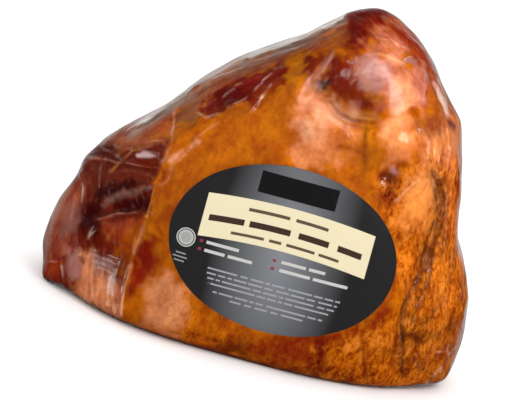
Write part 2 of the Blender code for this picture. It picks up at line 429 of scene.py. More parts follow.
# %% Shaking places a little, so that nothing painted has a ruled edge
RAGGED = 3.0
RAGGED_BACK = 60.0
SOFTER_BACK = 16.0
SLIGHTLY = 0.8
WOBBLE_ACROSS = ((1.0, 0.0060, 1.0), (0.5, 0.0026, 2.0))
WOBBLE_DOWN = ((1.0, 0.0060, 6.0), (0.5, 0.0026, 5.0))
GRAIN = ((1.1, 0.0068, 11.0), (0.9, 0.0030, 12.0))
FINGERS = ((3.5, 0.0024, 3.0),)
GRAIN_ALONG = ((0.9, 0.0017, 13.0),)
WANDER = 0.045
wobble = np.stack((ripples(body, WOBBLE_ACROSS), ripples(body, WOBBLE_DOWN)), axis=1)
fingers = ripples(crease_place, FINGERS) * crease_amount
grain = ripples(body, GRAIN) + ripples(crease_place, GRAIN_ALONG) * crease_amount
back = fade(0.0, -0.5, facing)
wander = np.stack((ripple(body, WANDER, 3.0), ripple(body, WANDER, 8.0)), axis=1)
slightly = seen_at + SLIGHTLY * wobble
shaken = seen_at + RAGGED * wobble + fingers[:, None] * outwards
shaken += (RAGGED_BACK * fade(0.0, -0.7, facing))[:, None] * wander

# %% [markdown]
# ## The film and its pleats
# Shrink film is a tough clear sheet, about 0.06 mm thick. Where the meat has hollows it bridges them, and
# where there is too much of it, it gathers into pleats that run towards the knot on the left shoulder.
# Each pleat is a narrow ridge along a path. The net is too coarse to show one sharply, so each point also
# keeps how far beside the nearest pleat it is, and the material draws the crest from that.

# %% The film's pleats
# Each pleat: its path, its height and the paleness of its crest. A pale crest is partly the milkiness of
# folded film; on the palest ones it is a painted glint.
PLEATS = {
    "knot to rind": ([(113, 146), (137, 149), (160, 154)], 0.0008, 0.35),
    "knot to rind, lower": ([(112, 152), (126, 163), (155, 168)], 0.0007, 0.25),
    "knot down, right": ([(134, 150), (122, 160), (110, 171)], 0.0006, 0.20),
    "knot down": ([(104, 160), (100, 172), (99, 186)], 0.0005, 0.20),
    "fan 1": ([(108, 140), (120, 149), (134, 150)], 0.0006, 0.25),
    "fan 2": ([(98, 146), (108, 151), (119, 155)], 0.0006, 0.25),
    "fan 3": ([(90, 159), (100, 158), (118, 163)], 0.0007, 0.45),
    "rind line, high": ([(174, 103), (173, 127), (171, 146), (161, 165)], 0.0007, 0.35),
    "left sheet": ([(81, 173), (84, 186), (83, 202)], 0.0009, 0.65),
    "left sheet, outer": ([(75, 196), (72, 214), (66, 236)], 0.0006, 0.40),
    "left sheet, edge": ([(60, 200), (54, 222), (50, 246)], 0.0005, 0.35),
    "upper fold": ([(104, 205), (118, 196), (134, 191), (152, 187)], 0.0009, 0.22),
    "lower fold": ([(98, 220), (114, 214), (140, 212), (147, 217)], 0.0007, 0.20),
    "deep fold": ([(93, 228), (88, 238), (94, 232)], 0.0006, 0.55),
    "short pleat 1": ([(94, 250), (106, 254), (118, 259)], 0.0007, 0.50),
    "short pleat 2": ([(94, 254), (106, 259), (117, 265)], 0.0006, 0.55),
    "short pleat 3": ([(93, 260), (104, 264), (115, 270)], 0.0007, 0.80),
    "short pleat 4": ([(96, 267), (106, 270), (113, 273)], 0.0005, 0.70),
    "foot pleat": ([(120, 262), (115, 282), (113, 300), (114, 314)], 0.0009, 0.65),
    "foot pleat, middle": ([(112, 272), (108, 288), (107, 306)], 0.0006, 0.50),
    "foot pleat, left": ([(92, 262), (91, 282), (92, 300)], 0.0006, 0.40),
    "rind foot": ([(129, 266), (123, 286), (121, 314)], 0.0007, 0.75),
    "corner pleat": ([(62, 266), (63, 280), (65, 291)], 0.0007, 0.60),
    "corner pleat, inner": ([(52, 262), (70, 258), (84, 252)], 0.0005, 0.40),
    "strip pleat 1": ([(228, 108), (240, 103), (246, 98)], 0.0007, 0.60),
    "strip pleat 2": ([(251, 111), (262, 97), (272, 86)], 0.0008, 0.75),
    "strip pleat 3": ([(255, 91), (263, 82), (272, 74)], 0.0008, 0.55),
    "strip pleat 4": ([(222, 99), (236, 86), (262, 76), (280, 68)], 0.0006, 0.25),
    "strip pleat 5": ([(196, 112), (206, 118), (220, 113)], 0.0006, 0.40),
    "strip pleat 6": ([(214, 80), (240, 70), (268, 62)], 0.0005, 0.30),
    "strip pleat 7": ([(246, 66), (276, 56), (306, 46)], 0.0005, 0.30),
    "bag line 1": ([(130, 131), (158, 112), (184, 93)], 0.0007, 0.35),
    "bag line 2": ([(246, 60), (280, 48), (314, 37), (334, 27)], 0.0008, 0.45),
    "bag line 3": ([(256, 55), (290, 42), (322, 29)], 0.0006, 0.40),
    "bag line 4": ([(150, 121), (176, 103), (196, 86)], 0.0005, 0.30),
    "first fold": ([(333, 52), (326, 66), (314, 79), (308, 90)], 0.0006, 0.10),
    "first fold, lower": ([(320, 90), (324, 84), (327, 79)], 0.0006, 0.35),
    "second fold": ([(356, 66), (353, 76), (350, 86)], 0.0006, 0.12),
    "hooked fold": ([(331, 98), (341, 110), (356, 118), (376, 120)], 0.0004, 0.25),
    "hooked fold, lower": ([(328, 104), (338, 116), (354, 124), (374, 126)], 0.0004, 0.15),
    "brow": ([(404, 60), (411, 57), (418, 60)], 0.0007, 0.75),
    "brow, right": ([(421, 62), (427, 80), (424, 104)], 0.0005, 0.30),
    "crown line": ([(383, 18), (402, 31), (422, 50)], 0.0005, 0.25),
    "crown haze line": ([(376, 36), (392, 40), (408, 50)], 0.0004, 0.25),
    "right bag": ([(436, 80), (443, 96), (448, 114)], 0.0006, 0.70),
    "shoulder 1": ([(420, 128), (430, 142), (428, 160)], 0.0004, 0.12),
    "shoulder 2": ([(436, 130), (442, 146), (438, 164)], 0.0004, 0.14),
    "shoulder 3": ([(448, 128), (450, 150), (447, 170)], 0.0004, 0.14),
    "lobe line": ([(396, 201), (405, 192), (415, 183)], 0.0004, 0.40),
    "right seam": ([(433, 180), (439, 200), (432, 240), (425, 258), (414, 278)], 0.0006, 0.12),
    "right seam, outer": ([(441, 178), (448, 200), (444, 222), (437, 250), (432, 262)], 0.0006, 0.14),
    "seam, lower": ([(428, 258), (420, 276), (408, 296), (400, 322), (399, 350)], 0.0006, 0.12),
    "seam, low right": ([(430, 268), (426, 290), (416, 308), (412, 330)], 0.0006, 0.12),
    "corner crumple 1": ([(436, 351), (448, 352), (438, 369), (424, 385)], 0.0008, 0.55),
    "corner crumple 2": ([(452, 338), (446, 348), (440, 372)], 0.0006, 0.45),
    "corner crumple 3": ([(458, 330), (455, 344), (446, 358)], 0.0006, 0.40),
    "right edge": ([(456, 150), (460, 190), (464, 250), (468, 290), (464, 318)], 0.0005, 0.25),
}
PLEAT_WIDTH = 2.0
PLEAT_REACH = 5.0
pleat_off = np.full(len(body), PLEAT_REACH)
pleat_height = np.zeros(len(body))
pleat_milk_and_glint = np.zeros(len(body))
for path, height, crest_paleness_and_glint in PLEATS.values():
    apart, side = beside(slightly, path)
    taper = fade(PLEAT_REACH, 0.4 * PLEAT_REACH, apart)
    nearer = apart < np.abs(pleat_off)
    pleat_off = np.where(nearer, apart * side, pleat_off)
    pleat_height = np.where(nearer, height * taper, pleat_height)
    pleat_milk_and_glint = np.where(nearer, crest_paleness_and_glint * taper, pleat_milk_and_glint)
pleats = pleat_height * np.exp(-((pleat_off / PLEAT_WIDTH) ** 2))

# %% The film's surface
FINE_CREASES = ((0.00030, 0.0030, 0.0), (0.00012, 0.0016, 5.0))
LOOSE_FILM = ((0.00024, 0.013, 2.0), (0.00010, 0.005, 7.0))
DEEPEST_CREASE = -0.0002
creases = np.maximum(ripples(crease_place, FINE_CREASES), DEEPEST_CREASE)
loose = np.abs(ripples(body, LOOSE_FILM))
film_height = (pleats * in_view + creases * crease_amount + loose) * above_floor
sheet = body + outward * film_height[:, None]
sheet[:, 2] = np.where(body[:, 2] < PRESSED_FLAT, 0.0, np.maximum(sheet[:, 2], 0.0))
move_points(film, sheet)
note(film, "pleat_off", pleat_off * PIXEL)
note(film, "pleat_height", pleat_height * in_view * above_floor)
note(film, "pleat_milk_and_glint", pleat_milk_and_glint * fade(-0.15, 0.1, facing))
note(film, "crease_place", crease_place)
note(film, "crease_amount", crease_amount)
print(f"the tallest pleat stands {film_height.max() * 1000:.2f} mm proud")

# %% [markdown]
# ## Painting the meat
# Smoke colours a ham unevenly. The fat rind turns gold, lean meat turns wine red and the seams are dark.
# Some light and shade is painted into the colour as well: some folds and hollows are painted darker as
# painted shade, and the pale peach and pink places are partly paler fat, partly painted highlight. So the
# skin is painted as a painter would: a gold ground, then named fields of other colours, then strokes over
# them, among them painted highlights and glints. Edges are made ragged by shaking each point's place a
# little. The back isn't in the picture, so it gets the same fields, shaken so much that it looks like
# another side of the same ham. The strokes stay in front.

# %% Colours
def linear(code):
    """A web colour such as #B8650C as the three linear numbers that Blender mixes with."""
    values = [int(code[i : i + 2], 16) / 255 for i in (1, 3, 5)]
    return [v / 12.92 if v <= 0.04045 else ((v + 0.055) / 1.055) ** 2.4 for v in values]


def paint(code):
    return (*linear(code), 1)


GROUND = "#CC6E08"
FIELDS = {
    "right side": ("#D47A2C", 0.95, 22,
        [(372, 170), (420, 140), (475, 130), (475, 395), (395, 395), (372, 300)]),
    "foot": ("#C8660E", 0.9, 16,
        [(190, 315), (215, 300), (260, 345), (345, 345), (400, 320), (405, 400), (180, 380)]),
    "rind side": ("#B25206", 0.8, 12,
        [(170, 165), (186, 200), (172, 250), (166, 285), (130, 290), (150, 215)]),
    "lean face": ("#7E2C1C", 1.0, 4,
        [(60, 130), (100, 132), (174, 102), (172, 137), (159, 166), (151, 191), (144, 216), (136, 241),
         (127, 266), (121, 285), (118, 325), (30, 320), (20, 240)]),
    "lean, high": ("#B46A4E", 0.9, 6,
        [(100, 138), (135, 120), (174, 96), (172, 132), (160, 146), (120, 150)]),
    "lean, high red": ("#B2563C", 0.8, 4, [(158, 118), (170, 112), (169, 134), (157, 138)]),
    "lean, below the knot": ("#742C1C", 0.9, 7,
        [(84, 164), (124, 160), (152, 168), (148, 190), (88, 200)]),
    # The dark blade and the maroon below it are the lean's own dark red, darkened further as painted shade
    # in the valley beside the lean blade.
    "lean, dark blade": ("#420804", 0.95, 3,
        [(90, 200), (100, 188), (134, 178), (142, 184), (116, 192), (98, 206)]),
    "lean, grey blade": ("#7C5448", 0.85, 2.0,
        [(100, 205), (118, 193), (151, 186), (151, 188), (124, 197), (104, 209)]),
    "lean, maroon": ("#4A0805", 1.0, 5,
        [(106, 216), (122, 202), (152, 192), (147, 214), (130, 214), (110, 222)]),
    "lean, deepest": ("#420402", 1.0, 8,
        [(80, 206), (94, 198), (101, 216), (100, 236), (84, 240), (72, 226)]),
    "lean, brown": ("#AE4E34", 0.85, 8, [(100, 222), (134, 216), (140, 226), (132, 246), (104, 244)]),
    "lean, near the rind": ("#B65A22", 0.8, 7,
        [(122, 236), (139, 224), (134, 250), (124, 268), (114, 254)]),
    "lean, left": ("#A45242", 0.85, 8,
        [(74, 178), (84, 180), (80, 204), (66, 240), (48, 262), (34, 250), (56, 200)]),
    "lean, left red": ("#B65030", 0.7, 6, [(64, 184), (80, 174), (80, 204), (62, 218), (54, 220)]),
    "foot, dark": ("#7A2418", 0.9, 6, [(78, 234), (112, 240), (112, 252), (82, 250)]),
    "foot, peach": ("#E29C72", 0.95, 7,
        [(78, 250), (90, 246), (96, 262), (117, 284), (121, 322), (74, 300), (76, 284)]),
    "foot, pink": ("#B4685C", 0.85, 6, [(62, 246), (77, 244), (80, 282), (66, 282)]),
    # Painted glints: the lilac gleam of the film's short pleats over the foot.
    "foot, painted lilac glints": ("#A06C66", 0.5, 5, [(90, 252), (116, 262), (116, 280), (96, 274)]),
    "foot, corner": ("#9A3622", 0.95, 5, [(36, 252), (58, 254), (64, 298), (38, 296)]),
    "beside the rind": ("#901E04", 1.0, 8,
        [(145, 228), (155, 240), (154, 264), (146, 284), (124, 304), (130, 262), (138, 244)]),
    # Painted highlight: a broad pale gleam low on the left.
    "foot, painted highlight": ("#E8AA7E", 0.9, 12,
        [(146, 288), (168, 274), (186, 290), (190, 320), (176, 338), (140, 326)]),
    "upper haze": ("#A05E48", 0.95, 4,
        [(176, 100), (232, 64), (290, 46), (345, 26), (345, 36), (318, 45), (291, 58), (262, 70),
         (238, 81), (214, 96), (200, 108), (196, 122), (176, 118)]),
    "corner haze": ("#96603E", 0.8, 5, [(176, 104), (196, 96), (204, 116), (190, 126), (175, 128)]),
    "haze's ground": ("#9C5E46", 0.9, 3,
        [(228, 66), (290, 44), (346, 20), (352, 34), (318, 46), (291, 58), (262, 70), (238, 80)]),
    "strip's ground": ("#8A2A0E", 0.95, 3,
        [(200, 112), (208, 96), (238, 78), (264, 69), (286, 60), (291, 70), (286, 84), (256, 107),
         (236, 114), (206, 117)]),
    "strip": ("#861A0A", 1.0, 4,
        [(200, 110), (210, 97), (238, 80), (262, 71), (283, 62), (288, 70), (284, 82), (272, 90),
         (255, 105), (236, 112), (207, 115)]),
    "strip, deepest": ("#640402", 0.9, 5, [(216, 96), (238, 84), (248, 88), (238, 104), (220, 108)]),
    "strip, low end": ("#9C3A1A", 0.8, 3,
        [(240, 104), (262, 90), (280, 76), (284, 82), (258, 104), (240, 112)]),
    "strip, fat": ("#C87838", 0.8, 2.5,
        [(214, 115), (232, 107), (246, 100), (250, 108), (236, 114), (214, 120)]),
    "pale gold": ("#C88010", 0.85, 5, [(290, 54), (310, 46), (306, 74), (298, 86), (284, 90)]),
    "gold by the navel": ("#BA620A", 0.8, 10, [(262, 98), (292, 90), (296, 124), (270, 130)]),
    "gold, high": ("#D67A0A", 0.8, 14,
        [(180, 140), (230, 112), (262, 106), (264, 138), (236, 150), (200, 172)]),
    "crown's ground": ("#A03C1A", 0.95, 7,
        [(338, 0), (402, 0), (440, 50), (464, 122), (438, 122), (428, 100), (416, 60), (384, 36),
         (352, 54), (334, 44)]),
    "crown": ("#7C1204", 1.0, 6,
        [(346, 0), (392, 0), (388, 26), (370, 32), (364, 47), (352, 55), (342, 46), (350, 38), (345, 30)]),
    "crown, left": ("#A4583A", 0.85, 4,
        [(308, 44), (322, 34), (345, 24), (350, 38), (344, 46), (324, 50), (311, 52)]),
    "crown, light": ("#9A3412", 0.6, 5, [(358, 20), (376, 17), (378, 28), (362, 28)]),
    "crown, haze": ("#B8664E", 0.95, 7,
        [(372, 30), (390, 26), (412, 44), (412, 56), (390, 52), (366, 52)]),
    "crown, warm": ("#DC9070", 0.75, 6, [(386, 34), (398, 34), (410, 48), (402, 56), (386, 50)]),
    "brow strip": ("#B24C34", 0.95, 6,
        [(386, 2), (404, 16), (436, 56), (446, 90), (462, 122), (440, 122), (434, 108), (414, 108),
         (412, 80), (426, 78), (420, 58), (394, 30)]),
    "brow strip, middle": ("#CC826E", 0.9, 4, [(414, 62), (426, 70), (430, 104), (416, 104), (410, 84)]),
    # The peach fields are partly paler fat and partly painted highlight, where the softbox from the upper
    # right gleams on the film.
    "peach": ("#DE967C", 1.0, 8,
        [(357, 60), (379, 52), (407, 62), (416, 84), (419, 108), (400, 110), (386, 101), (366, 90),
         (356, 79)]),
    "peach, lilac": ("#B87468", 0.8, 6, [(358, 62), (374, 56), (382, 84), (374, 94), (358, 84)]),
    "peach, gold": ("#F2AE80", 0.9, 8, [(396, 70), (410, 72), (416, 106), (398, 106)]),
    "navel's ground": ("#AC5C2A", 0.85, 8,
        [(302, 54), (350, 48), (364, 62), (386, 98), (374, 124), (330, 118), (312, 96)]),
    "navel, left": ("#741A04", 0.95, 5,
        [(306, 54), (318, 52), (324, 60), (316, 74), (308, 80), (303, 66)]),
    "navel, middle": ("#801E06", 1.0, 5,
        [(330, 52), (350, 54), (356, 68), (355, 88), (345, 96), (332, 91), (325, 73)]),
    "navel, right": ("#8C2C12", 0.97, 5,
        [(345, 80), (355, 86), (366, 93), (380, 98), (385, 108), (368, 112), (352, 106), (341, 94)]),
    "navel, right end": ("#BC6A4C", 0.85, 6, [(368, 96), (390, 100), (390, 112), (370, 112)]),
    "navel, shadow": ("#3E1E2C", 0.95, 2.5, [(312, 82), (322, 78), (329, 80), (328, 92), (314, 90)]),
    # Painted shade: a grey-blue shadow along the hooked fold.
    "hooked fold": ("#A07C70", 0.7, 4,
        [(327, 95), (336, 100), (346, 113), (362, 121), (352, 124), (338, 116)]),
    "hooked fold, gold": ("#C88C50", 0.6, 4,
        [(333, 98), (344, 107), (362, 115), (376, 114), (374, 120), (350, 117)]),
    # The pink fields are partly paler fat and partly painted highlight, where the softbox gleams on the
    # film.
    "pink": ("#F0AC82", 1.0, 11,
        [(311, 82), (322, 92), (330, 98), (338, 116), (336, 134), (330, 152), (316, 162), (300, 150),
         (291, 124), (300, 96)]),
    "pink, bright": ("#FFD4AC", 0.8, 9, [(304, 122), (318, 114), (322, 134), (308, 146)]),
    "below the navel": ("#DC8A50", 0.9, 6, [(324, 136), (340, 122), (364, 126), (362, 165), (318, 166)]),
    "pink, low": ("#EBA06C", 0.85, 7, [(292, 142), (332, 140), (340, 164), (290, 172)]),
    "ochre": ("#D88414", 0.95, 5, [(366, 126), (378, 126), (378, 150), (386, 166), (366, 166)]),
    # Bright peach: partly paler fat, partly painted highlight of the softbox on the lobe.
    "bright peach": ("#F0A26A", 1.0, 7,
        [(380, 120), (398, 110), (414, 118), (418, 140), (412, 164), (384, 164)]),
    "shoulder": ("#DC9262", 0.9, 6, [(420, 112), (470, 108), (472, 172), (418, 170)]),
    "shoulder, brown": ("#A85430", 0.9, 6, [(430, 106), (450, 110), (450, 126), (438, 130), (424, 122)]),
    "right light": ("#FFC084", 0.9, 9, [(408, 178), (434, 174), (436, 206), (412, 212)]),
    "lobe": ("#F2A45C", 0.9, 8, [(404, 190), (424, 178), (434, 200), (428, 232), (410, 240), (398, 220)]),
    "under the eye": ("#C8641E", 0.8, 7, [(372, 186), (396, 190), (400, 214), (384, 214)]),
    "low corner": ("#C86C22", 0.85, 8, [(404, 300), (440, 300), (466, 320), (450, 392), (398, 392)]),
    "under the label": ("#A02404", 0.9, 4,
        [(290, 336), (330, 337), (362, 326), (390, 306), (394, 314), (366, 334), (332, 346), (290, 346)]),
    "low dark": ("#8A3208", 0.85, 6, [(216, 342), (236, 338), (252, 348), (248, 360), (224, 354)]),
    "low dark, red": ("#9A2404", 0.95, 6,
        [(246, 342), (264, 338), (300, 342), (314, 350), (312, 368), (282, 368), (250, 360)]),
    "right edge, light": ("#F09450", 0.9, 7, [(445, 160), (460, 160), (469, 262), (448, 236)]),
}
STROKES = {
    # Painted light: the meat under the milky band is painted grey-white, which lifts the shade that the
    # band casts on it.
    "under the bag, low": ("#A89C90", 0.85, 5.0, [(128, 134), (160, 112), (188, 92)]),
    "under the bag, high": ("#A89C90", 0.85, 5.0, [(240, 60), (280, 46), (312, 31), (342, 18)]),
    # The pale peach streaks are partly paler fat and partly painted highlight, like the peach fields.
    "peach streak": ("#B8705C", 0.6, 2.2, [(362, 68), (374, 82), (390, 92)]),
    "peach streak, pale": ("#EEBCA4", 0.7, 2.6, [(376, 60), (386, 70), (392, 84)]),
    "peach streak, high": ("#EBB08E", 0.6, 2.4, [(384, 56), (398, 62), (408, 74)]),
    "pink, streak": ("#DE8844", 0.7, 3.2, [(308, 112), (316, 124), (318, 136)]),
    "pink, streak 2": ("#D88850", 0.6, 2.6, [(324, 108), (332, 126), (330, 146)]),
    # Painted highlights: the pale pink gleam along the crests of the first and second folds.
    "first fold, painted highlight": ("#D29A88", 0.6, 3.0, [(331, 55), (322, 68), (312, 80), (306, 90)]),
    "second fold, painted highlight": ("#B87464", 0.7, 2.2, [(357, 60), (354, 72), (351, 82)]),
    "pale streak": ("#F4B484", 0.5, 4.5, [(406, 104), (396, 116), (384, 134)]),
    "ochre's edge": ("#8A4008", 0.8, 3.2, [(366, 130), (364, 150), (366, 168)]),
    "shoulder fold": ("#A85A34", 0.75, 4.0, [(420, 126), (430, 133), (442, 128)]),
    "shoulder streak": ("#B4622C", 0.7, 2.4, [(424, 144), (430, 160), (428, 176)]),
    "shoulder streak 2": ("#C06A30", 0.7, 2.4, [(440, 140), (444, 158), (440, 176)]),
    "shoulder light": ("#F4A860", 0.7, 3.0, [(434, 146), (436, 162), (433, 176)]),
    "bottom patch": ("#800C02", 1.0, 9, [(319, 342), (320, 370)]),
    "bottom streak": ("#841604", 0.9, 4.0, [(363, 342), (365, 380)]),
    "knot of folds, dark": ("#74280A", 0.85, 5.0, [(408, 336), (418, 342)]),
    "small red spot": ("#8A2408", 0.85, 4, [(386, 352), (394, 353)]),
    "label's side": ("#A8400E", 0.6, 5, [(372, 318), (392, 296), (399, 270)]),
    "seam": ("#7E4030", 0.85, 4.0, [(434, 172), (442, 198), (440, 216), (432, 242), (428, 258)]),
    "seam's left line": ("#602810", 0.9, 1.7,
        [(436, 190), (438, 204), (436, 218), (428, 240), (422, 262)]),
    "seam's right line": ("#602810", 0.9, 1.7,
        [(441, 180), (446, 200), (444, 220), (436, 246), (432, 262)]),
    "seam, dark spot": ("#5A1808", 0.9, 3, [(429, 252), (434, 250)]),
    "seam, pale spot": ("#D89470", 0.8, 2, [(428, 260), (427, 268)]),
    "seam, middle": ("#6E3010", 0.9, 2.4, [(427, 262), (419, 280), (410, 294), (403, 312), (401, 330)]),
    "seam, middle 2": ("#6A2C10", 0.9, 2.0, [(432, 264), (428, 284), (420, 300), (414, 318)]),
    "seam, low": ("#56200C", 0.9, 2.4, [(402, 326), (404, 346), (402, 372)]),
    "knot of folds": ("#5C2008", 0.75, 3.6, [(412, 334), (422, 340), (428, 332)]),
    "knot of folds 2": ("#6A2A0C", 0.7, 3.0, [(408, 316), (418, 326), (430, 320), (438, 308)]),
    "knot of folds 3": ("#6A2A0C", 0.7, 2.8, [(424, 344), (436, 336), (448, 326)]),
    "grey fold": ("#705248", 0.45, 4.0, [(412, 360), (422, 368)]),
    "right side line": ("#8A3A0C", 0.7, 1.8, [(446, 240), (452, 262), (448, 284), (440, 300)]),
    "right side line 2": ("#9A4A14", 0.7, 1.6, [(458, 262), (462, 282), (458, 306)]),
    "wrinkle 1": ("#B25E1C", 0.35, 1.6, [(452, 178), (456, 200), (454, 226)]),
    "wrinkle 2": ("#A85A20", 0.6, 1.5, [(428, 130), (434, 146), (432, 162)]),
    "wrinkle 3": ("#A05A3A", 0.7, 2.2, [(420, 130), (430, 136), (440, 133)]),
    "shoulder spot": ("#704048", 0.85, 3, [(451, 122), (455, 127)]),
    "dark spots": ("#9A3A10", 0.7, 3.4, [(340, 147), (358, 151)]),
    "red line": ("#8E2408", 0.8, 2.0, [(384, 20), (402, 32), (420, 48), (430, 66)]),
    # The pale line along the rind's raised edge is partly the fat's own pale edge and partly painted
    # highlight where the edge catches the light.
    "rind ridge, high": ("#C48468", 0.75, 1.8, [(174, 104), (172, 137), (160, 166)]),
    "rind ridge": ("#D08858", 0.75, 1.6, [(160, 166), (153, 191), (146, 216)]),
    "rind ridge, wide": ("#D8A078", 0.8, 3.0, [(143, 226), (138, 240), (133, 252)]),
    "rind ridge, low": ("#E8B08C", 0.9, 2.0, [(130, 264), (123, 286), (120, 316)]),
    # Painted highlight: the pale reflection on the rind's edge.
    "rind, painted highlight": ("#ECAE84", 0.9, 3.8, [(170, 160), (180, 153), (198, 142)]),
    "rind spot": ("#A03A30", 0.8, 3.0, [(163, 172), (162, 180)]),
    # The lean streaks are partly the lean's grain and partly painted glints of the film's crinkles.
    "lean streak 1": ("#B0705C", 0.5, 1.3, [(66, 196), (60, 214), (56, 234)]),
    "lean streak 2": ("#A8644E", 0.5, 1.3, [(74, 186), (70, 204), (66, 222)]),
    "lean streak 3": ("#B87A64", 0.5, 1.2, [(52, 222), (49, 242), (50, 258)]),
    "lean streak 4": ("#9A5A44", 0.5, 1.4, [(88, 176), (92, 190), (90, 200)]),
    "lean streak 5": ("#A46A50", 0.5, 1.4, [(104, 232), (112, 242), (124, 246)]),
    "lean streak 6": ("#8E4A38", 0.5, 1.4, [(112, 172), (130, 170), (148, 174)]),
    "knot line": ("#AE6238", 0.7, 1.5, [(133, 150), (120, 162), (110, 171)]),
    "fan shade 1": ("#4E160E", 0.7, 1.6, [(100, 145), (111, 150), (122, 160)]),
    "fan shade 2": ("#4E160E", 0.7, 1.6, [(92, 152), (106, 154), (120, 162)]),
    # Painted highlights: thin pinkish gleams on the film's fan of pleats from the knot.
    "fan, painted highlight 1": ("#A86A50", 0.4, 0.9, [(108, 140), (120, 149), (134, 150)]),
    "fan, painted highlight 2": ("#A0624A", 0.4, 0.9, [(98, 146), (108, 151), (119, 155)]),
    "fan, painted highlight 3": ("#B0745A", 0.5, 0.9, [(90, 159), (100, 158), (118, 163)]),
    "knot red": ("#6A100A", 0.85, 2.6, [(146, 150), (160, 146)]),
    "knot red 2": ("#5E0C08", 0.8, 2.0, [(136, 159), (152, 157)]),
    # Painted highlight along the lean's lower fold.
    "fold, painted highlight": ("#9A5040", 0.6, 1.4, [(104, 218), (118, 214), (138, 212)]),
    "foot shade 1": ("#561A12", 0.8, 1.3, [(94, 252), (116, 258)]),
    "foot shade 2": ("#561A12", 0.8, 1.3, [(94, 257), (116, 264)]),
    "foot shade 3": ("#5E2018", 0.7, 1.2, [(94, 263), (112, 270)]),
    # Along the left outline the pale band is partly milky film and partly a painted reflection at the
    # glancing edge.
    "left edge, milk and painted sheen": ("#A88478", 0.7, 3.0, [(78, 168), (58, 200), (44, 236), (41, 262)]),
    "eye": ("#7A1E08", 1.0, 5.4, [(382, 176), (392, 177)]),
    # Painted highlight on the eye.
    "eye, painted highlight": ("#D8A8A8", 0.95, 3.6, [(393, 170), (395, 172)]),
    "lobe line": ("#DCA080", 0.6, 1.5, [(396, 201), (405, 192), (415, 183)]),
    "gold line": ("#F0C490", 0.8, 1.5, [(379, 53), (392, 58), (405, 62)]),
    # Painted highlight on the brow.
    "brow, painted highlight": ("#A88088", 0.85, 3.0, [(408, 60), (416, 62)]),
    "right bag": ("#E2BCA6", 0.95, 2.8, [(437, 82), (444, 98), (449, 115)]),
}
YELLOWER_WHERE_LIGHT = (0.20, 0.34, 0.42)
MOTTLING = ((1.0, 0.0120, 21.0), (0.7, 0.0055, 22.0), (0.5, 0.0026, 23.0))
BRIGHTNESS_OF_EACH = (0.2126, 0.7152, 0.0722)
COARSE_RIND = [(372, 180), (420, 160), (480, 120), (480, 400), (300, 400), (300, 345), (400, 310)]
LOWER_RIND = [(160, 290), (262, 338), (345, 338), (400, 300), (420, 400), (160, 400)]
colour = np.tile(linear(GROUND), (len(body), 1))
for code, strength, softness, corners in FIELDS.values():
    share = strength * field(shaken, corners, softness + SOFTER_BACK * back, grain)
    colour += share[:, None] * (np.array(linear(code)) - colour)
for code, strength, width, path in STROKES.values():
    share = strength * brush(slightly, path, width) * fade(-0.12, 0.08, facing)
    colour += (share * np.clip(0.85 + 0.5 * grain, 0.2, 1.0))[:, None] * (np.array(linear(code)) - colour)
colour *= 1 + ripples(body, MOTTLING)[:, None] * np.array(YELLOWER_WHERE_LIGHT)
colour = np.clip(colour, 0.002, 1.0)
# The skin colour holds the painted highlights, glints and shade as well as the meat's own colours.
note(meat, "skin_colour_and_painted_light", np.column_stack((colour, np.ones(len(colour)))))
redness = colour[:, 0] / (colour.sum(axis=1) + 1e-6)
lightness = colour @ np.array(BRIGHTNESS_OF_EACH)
coarse = np.maximum(field(seen_at, COARSE_RIND, 14.0), fade(0.1, -0.3, facing))
lower = field(seen_at, LOWER_RIND, 12.0) * in_view * fade(0.02, 0.11, lightness)
coarse = np.maximum(coarse, 0.6 * lower)
mottled = np.maximum(fade(0.60, 0.72, redness) * fade(0.07, 0.17, lightness), 0.6 * lower)
note(meat, "gold_share", mottled)
note(meat, "coarse_share", coarse)
print("the meat has", len(FIELDS), "painted fields and", len(STROKES), "strokes")

# %% [markdown]
# ## Where the film looks milky, and its painted glints
# Clear film only vanishes where it is wet against the meat. Slack film, pleats and crossings of many
# layers look milky grey or pink, because each layer sends back a little light. That milkiness is painted
# too, and stays in place when the ham is turned. A few places hold painted glints of the lights instead,
# one holds a painted reflection of the softbox, and along the left outline a painted sheen is mixed in;
# these stay in place too. The rest of the gleam of the lights comes from the gloss. Towards the outline
# the milkiness breaks up into streaks, so that it has no hard end where the ham turns away.

